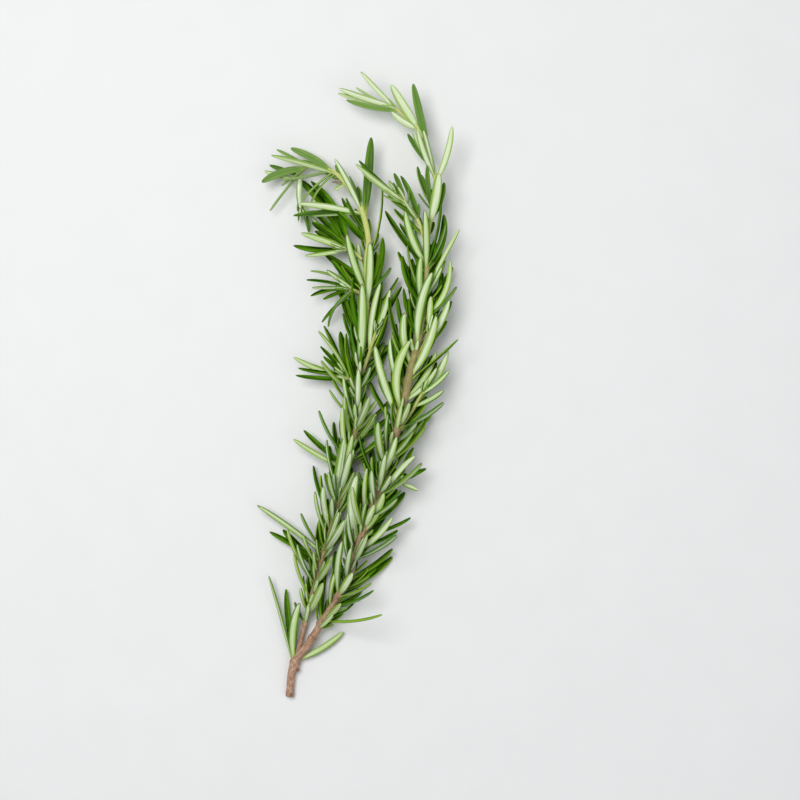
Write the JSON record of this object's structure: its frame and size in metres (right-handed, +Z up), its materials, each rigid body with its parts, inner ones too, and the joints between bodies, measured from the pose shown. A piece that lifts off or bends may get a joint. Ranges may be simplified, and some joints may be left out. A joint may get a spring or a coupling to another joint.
{
  "type": "rosemary sprig",
  "caption": "Forked sprig of fresh cut rosemary lying on its side, with a bare woody foot and narrow pale-backed green leaves along both branches",
  "frame": {"origin": "on the resting surface, under the middle of the sprig's box", "axes": "+Y from the cut end towards the growing tips, +X to the side that the main branch leans to, +Z up from the resting surface"},
  "size_m": [0.0712, 0.2199, 0.0246],
  "materials": {
    "bark": "dry brown bark with fine lengthwise cracks",
    "foliage": "fresh green leaves, dark and smooth above, pale and felted below, on soft green stems"
  },
  "bodies": {
    "root": {"woody_stem": "bark", "main_branch": "foliage", "main_side_shoot": "foliage", "left_branch": "foliage", "left_side_shoot": "foliage"}
  },
  "joints": []
}
